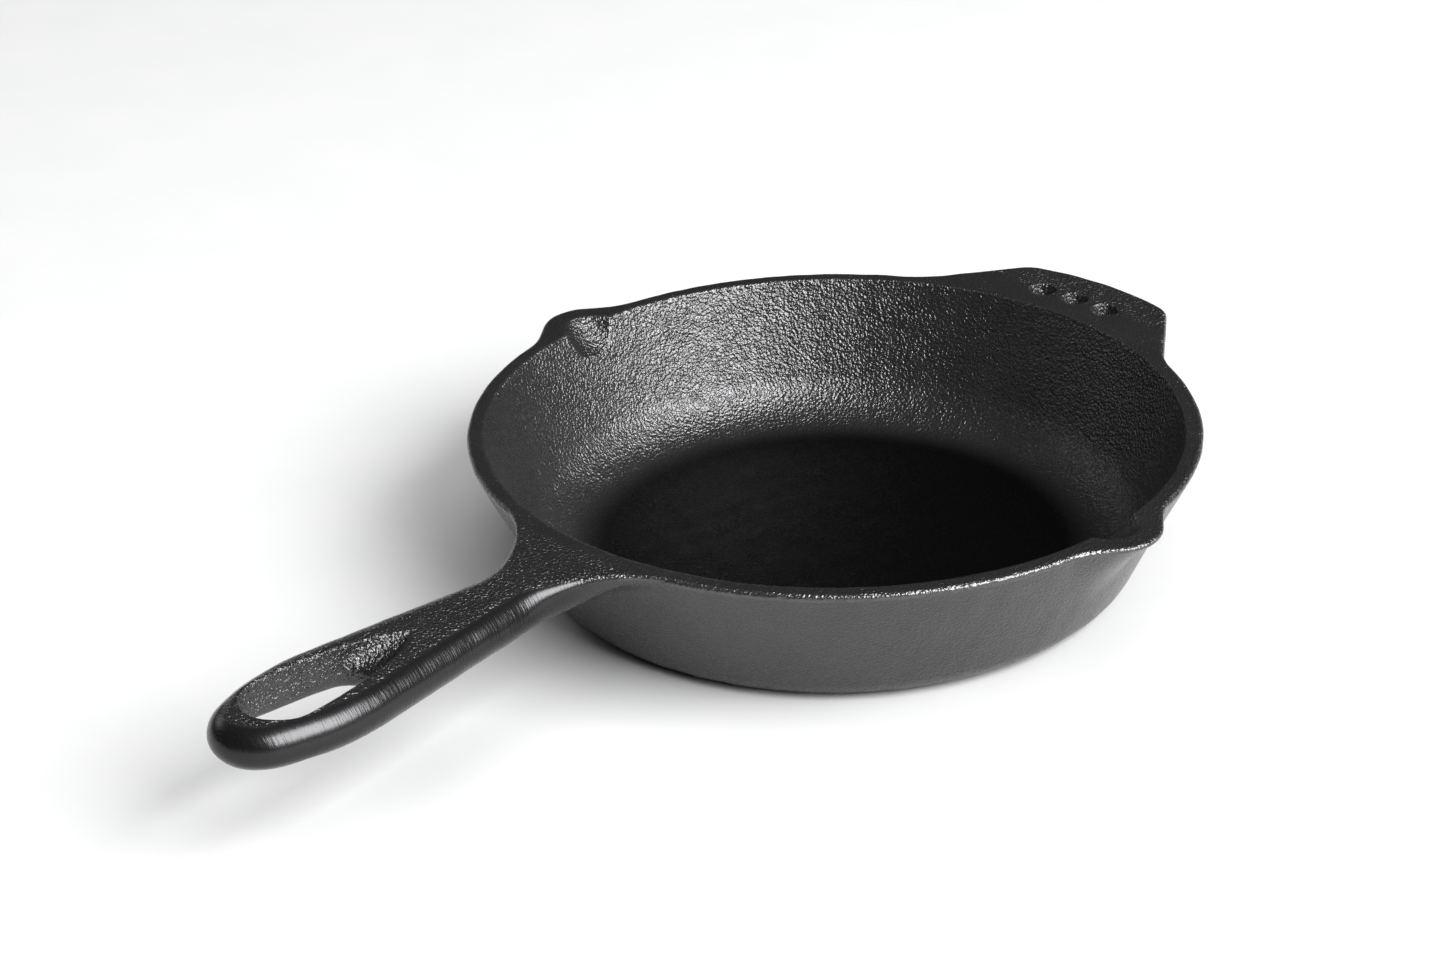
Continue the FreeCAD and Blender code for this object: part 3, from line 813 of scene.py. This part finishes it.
def make_iron(name):
    """Seasoned cast iron: pebbled where the sand left it and finely scratched where it was ground."""
    n = Nodes(name)
    spot = n.add("ShaderNodeTexCoord").outputs["Object"]
    coarse, ground = n.mark("coarse"), n.mark("ground")
    worn, cooking = n.mark("worn"), n.mark("cooking")

    pebbles = n.noise(spot, PEBBLES_PER_METRE, detail=1.0)
    clumps = n.noise(spot, CLUMPS_PER_METRE)
    grit = n.noise(spot, GRIT_PER_METRE)
    pits = n.add("ShaderNodeTexVoronoi", {"feature": "SMOOTH_F1"}, Vector=spot,
                 Scale=PITS_PER_METRE, Smoothness=0.5).outputs["Distance"]
    pebble_height = n.math("ADD", n.ramp(pebbles, 0.3, 0.72), n.math("MULTIPLY", pits, -PIT_DEPTH))
    along = n.add("ShaderNodeMapping", None, Vector=spot, Scale=SCRATCHES_PER_METRE)
    scratches = n.noise(along.outputs["Vector"], 1.0, detail=3.0)

    # The cooking floor is worn smoother than the wall, and clumps vary the grain's depth.
    quiet = n.math("SUBTRACT", 1.0, n.math("MULTIPLY", cooking, COOKING_SMOOTHING))
    coarse_strength = n.math("MULTIPLY", n.math("MULTIPLY", coarse, quiet),
                             n.ramp(clumps, 0.25, 0.75, 0.65, 1.0))
    grit_strength = n.blend(ground, n.blend(coarse, 0.35, 0.8), 0.08)
    scratch_strength = n.math("MULTIPLY", ground, SCRATCH_STRENGTH)
    pebbled = n.bump(pebble_height, PEBBLE_HEIGHT, coarse_strength)
    gritty = n.bump(grit, GRIT_HEIGHT, grit_strength, pebbled)
    scratched = n.bump(scratches, SCRATCH_HEIGHT, scratch_strength, gritty)

    tone = n.noise(spot, TONES_PER_METRE, detail=4.0, roughness=0.6)
    colour = n.grey(tone, DARK_IRON, LIGHT_IRON)
    # The cooking floor's colour is painted shade: far darker than the wall's iron, it stands in for
    # the dark surroundings that the upward-facing floor reflects.
    colour = n.grey(n.math("MULTIPLY", cooking, PAINTED_DARK_FLOOR_SHARE), colour, PAINTED_DARK_FLOOR)
    patchy = n.ramp(n.noise(spot, WEAR_PER_METRE, detail=3.0), 0.1, 0.6)
    edge = n.math("MULTIPLY", worn, patchy)
    colour = n.grey(n.math("MULTIPLY", edge, WORN_SHARE), colour, WORN_IRON)
    colour = n.grey(n.math("MULTIPLY", ground, GROUND_SHARE), colour, GROUND_IRON)

    rough = n.blend(ground, n.blend(tone, SMOOTH_IRON, ROUGH_IRON), GROUND_ROUGHNESS)
    grit_share = n.math("MULTIPLY", n.math("SUBTRACT", grit, 0.5), GRIT_ROUGHNESS)
    rough = n.math("ADD", rough, grit_share)
    shader = n.add("ShaderNodeBsdfPrincipled", None, Base_Color=colour, Roughness=rough,
                   Normal=scratched)
    shader.inputs["Metallic"].default_value = 0.88
    shader.inputs["IOR"].default_value = 1.5
    shader.inputs["Specular IOR Level"].default_value = 0.5
    n.add("ShaderNodeOutputMaterial", None, Surface=shader.outputs[0])
    return n.material


def make_table():
    """Pale matt table, slightly grained."""
    n = Nodes("pale_table")
    spot = n.add("ShaderNodeTexCoord").outputs["Object"]
    grain = n.noise(spot, TABLE_GRAIN_PER_METRE, detail=4.0, roughness=0.6)
    tone = n.noise(spot, TABLE_TONES_PER_METRE)
    colour = n.grey(tone, DARK_TABLE, LIGHT_TABLE)
    normal = n.bump(grain, TABLE_GRAIN_HEIGHT, 0.25)
    shader = n.add("ShaderNodeBsdfPrincipled", None, Base_Color=colour, Normal=normal)
    shader.inputs["Roughness"].default_value = 0.75
    shader.inputs["Specular IOR Level"].default_value = 0.2
    n.add("ShaderNodeOutputMaterial", None, Surface=shader.outputs[0])
    return n.material


# ---------------------------------------------------------------- the object
SLOTS = {
    "seasoned_iron_cooking": ["cooking_floor"],
    "seasoned_iron": ["side_wall", "pour_spout_right", "pour_spout_left"],
    "handle_iron": ["handle_neck", "handle_loop", "assist_handle"],
}
pieces = make_casting()
for slot, nodes in SLOTS.items():
    material = make_iron(slot)
    for node in nodes:
        piece = pieces[node]
        piece.name = node + "_casting"
        piece.data.materials.append(material)
        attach(piece, "root")
        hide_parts(node)


# ---------------------------------------------------------------- table, light and camera
TABLE_HALF_SIZE = 6.0
LAMP_AIM = Vector((0, 0, 0.03))


def make_table_top():
    size = TABLE_HALF_SIZE
    mesh = bpy.data.meshes.new("table_top")
    corners = [(-size, -size, 0), (size, -size, 0), (size, size, 0), (-size, size, 0)]
    mesh.from_pydata(corners, [], [(0, 1, 2, 3)])
    table = bpy.data.objects.new("table_top", mesh)
    bpy.context.scene.collection.objects.link(table)
    table.data.materials.append(make_table())


def add_softbox(name, direction, lift, distance, size, power):
    """A rectangular lamp.  direction and lift are in degrees: from the main handle's side
    towards +X, seen from above, and up from the table."""
    turn, rise = math.radians(direction), math.radians(lift)
    away = Vector((math.sin(turn) * math.cos(rise), -math.cos(turn) * math.cos(rise), math.sin(rise)))
    lamp = bpy.data.lights.new(name, "AREA")
    lamp.shape = "RECTANGLE"
    lamp.size, lamp.size_y = size
    lamp.energy = power
    holder = bpy.data.objects.new(name, lamp)
    holder.location = LAMP_AIM + away * distance
    holder.rotation_euler = (-away).to_track_quat("-Z", "Y").to_euler()
    bpy.context.scene.collection.objects.link(holder)
    return holder


CAMERA_TURN = math.radians(43.7)
CAMERA_LIFT = math.radians(26.938)
CAMERA_ROLL = math.radians(-1.3354)
ORIGIN_SEEN_MM = Vector((40.59, -25.28, -1243.4))   # from the camera: right, up and back
LENS_MM = 85.8
SENSOR_MM = 36


def add_camera():
    """The camera, turned, lifted and rolled, and placed so that it sees the origin where it should."""
    back = Vector((math.sin(CAMERA_TURN) * math.cos(CAMERA_LIFT),
                   -math.cos(CAMERA_TURN) * math.cos(CAMERA_LIFT), math.sin(CAMERA_LIFT)))
    right = Vector((math.cos(CAMERA_TURN), math.sin(CAMERA_TURN), 0))
    level = Matrix((right, back.cross(right), back))
    roll = Matrix.Rotation(CAMERA_ROLL, 3, "Z").transposed()
    turn = roll @ level
    camera = bpy.data.cameras.new("camera")
    camera.sensor_width = SENSOR_MM
    camera.lens = LENS_MM
    camera.clip_end = 50
    holder = bpy.data.objects.new("camera", camera)
    holder.matrix_world = (Matrix.Translation(turn.transposed() @ (-ORIGIN_SEEN_MM * MM))
                           @ turn.transposed().to_4x4())
    bpy.context.scene.collection.objects.link(holder)
    bpy.context.scene.camera = holder


def set_world():
    world = bpy.data.worlds.new("studio")
    world.use_nodes = True
    background = world.node_tree.nodes["Background"]
    background.inputs["Color"].default_value = (1, 1, 1, 1)
    background.inputs["Strength"].default_value = 0.04
    bpy.context.scene.world = world
    bpy.context.scene.view_settings.view_transform = "Standard"


make_table_top()
add_softbox("window", direction=96, lift=38, distance=3.2, size=(2.8, 2.1), power=310)
overhead = add_softbox("overhead", direction=60, lift=84, distance=2.6, size=(3.2, 3.2), power=86)
overhead.visible_glossy = False
add_softbox("fill", direction=280, lift=24, distance=3.2, size=(1.8, 1.0), power=9)
add_camera()
set_world()
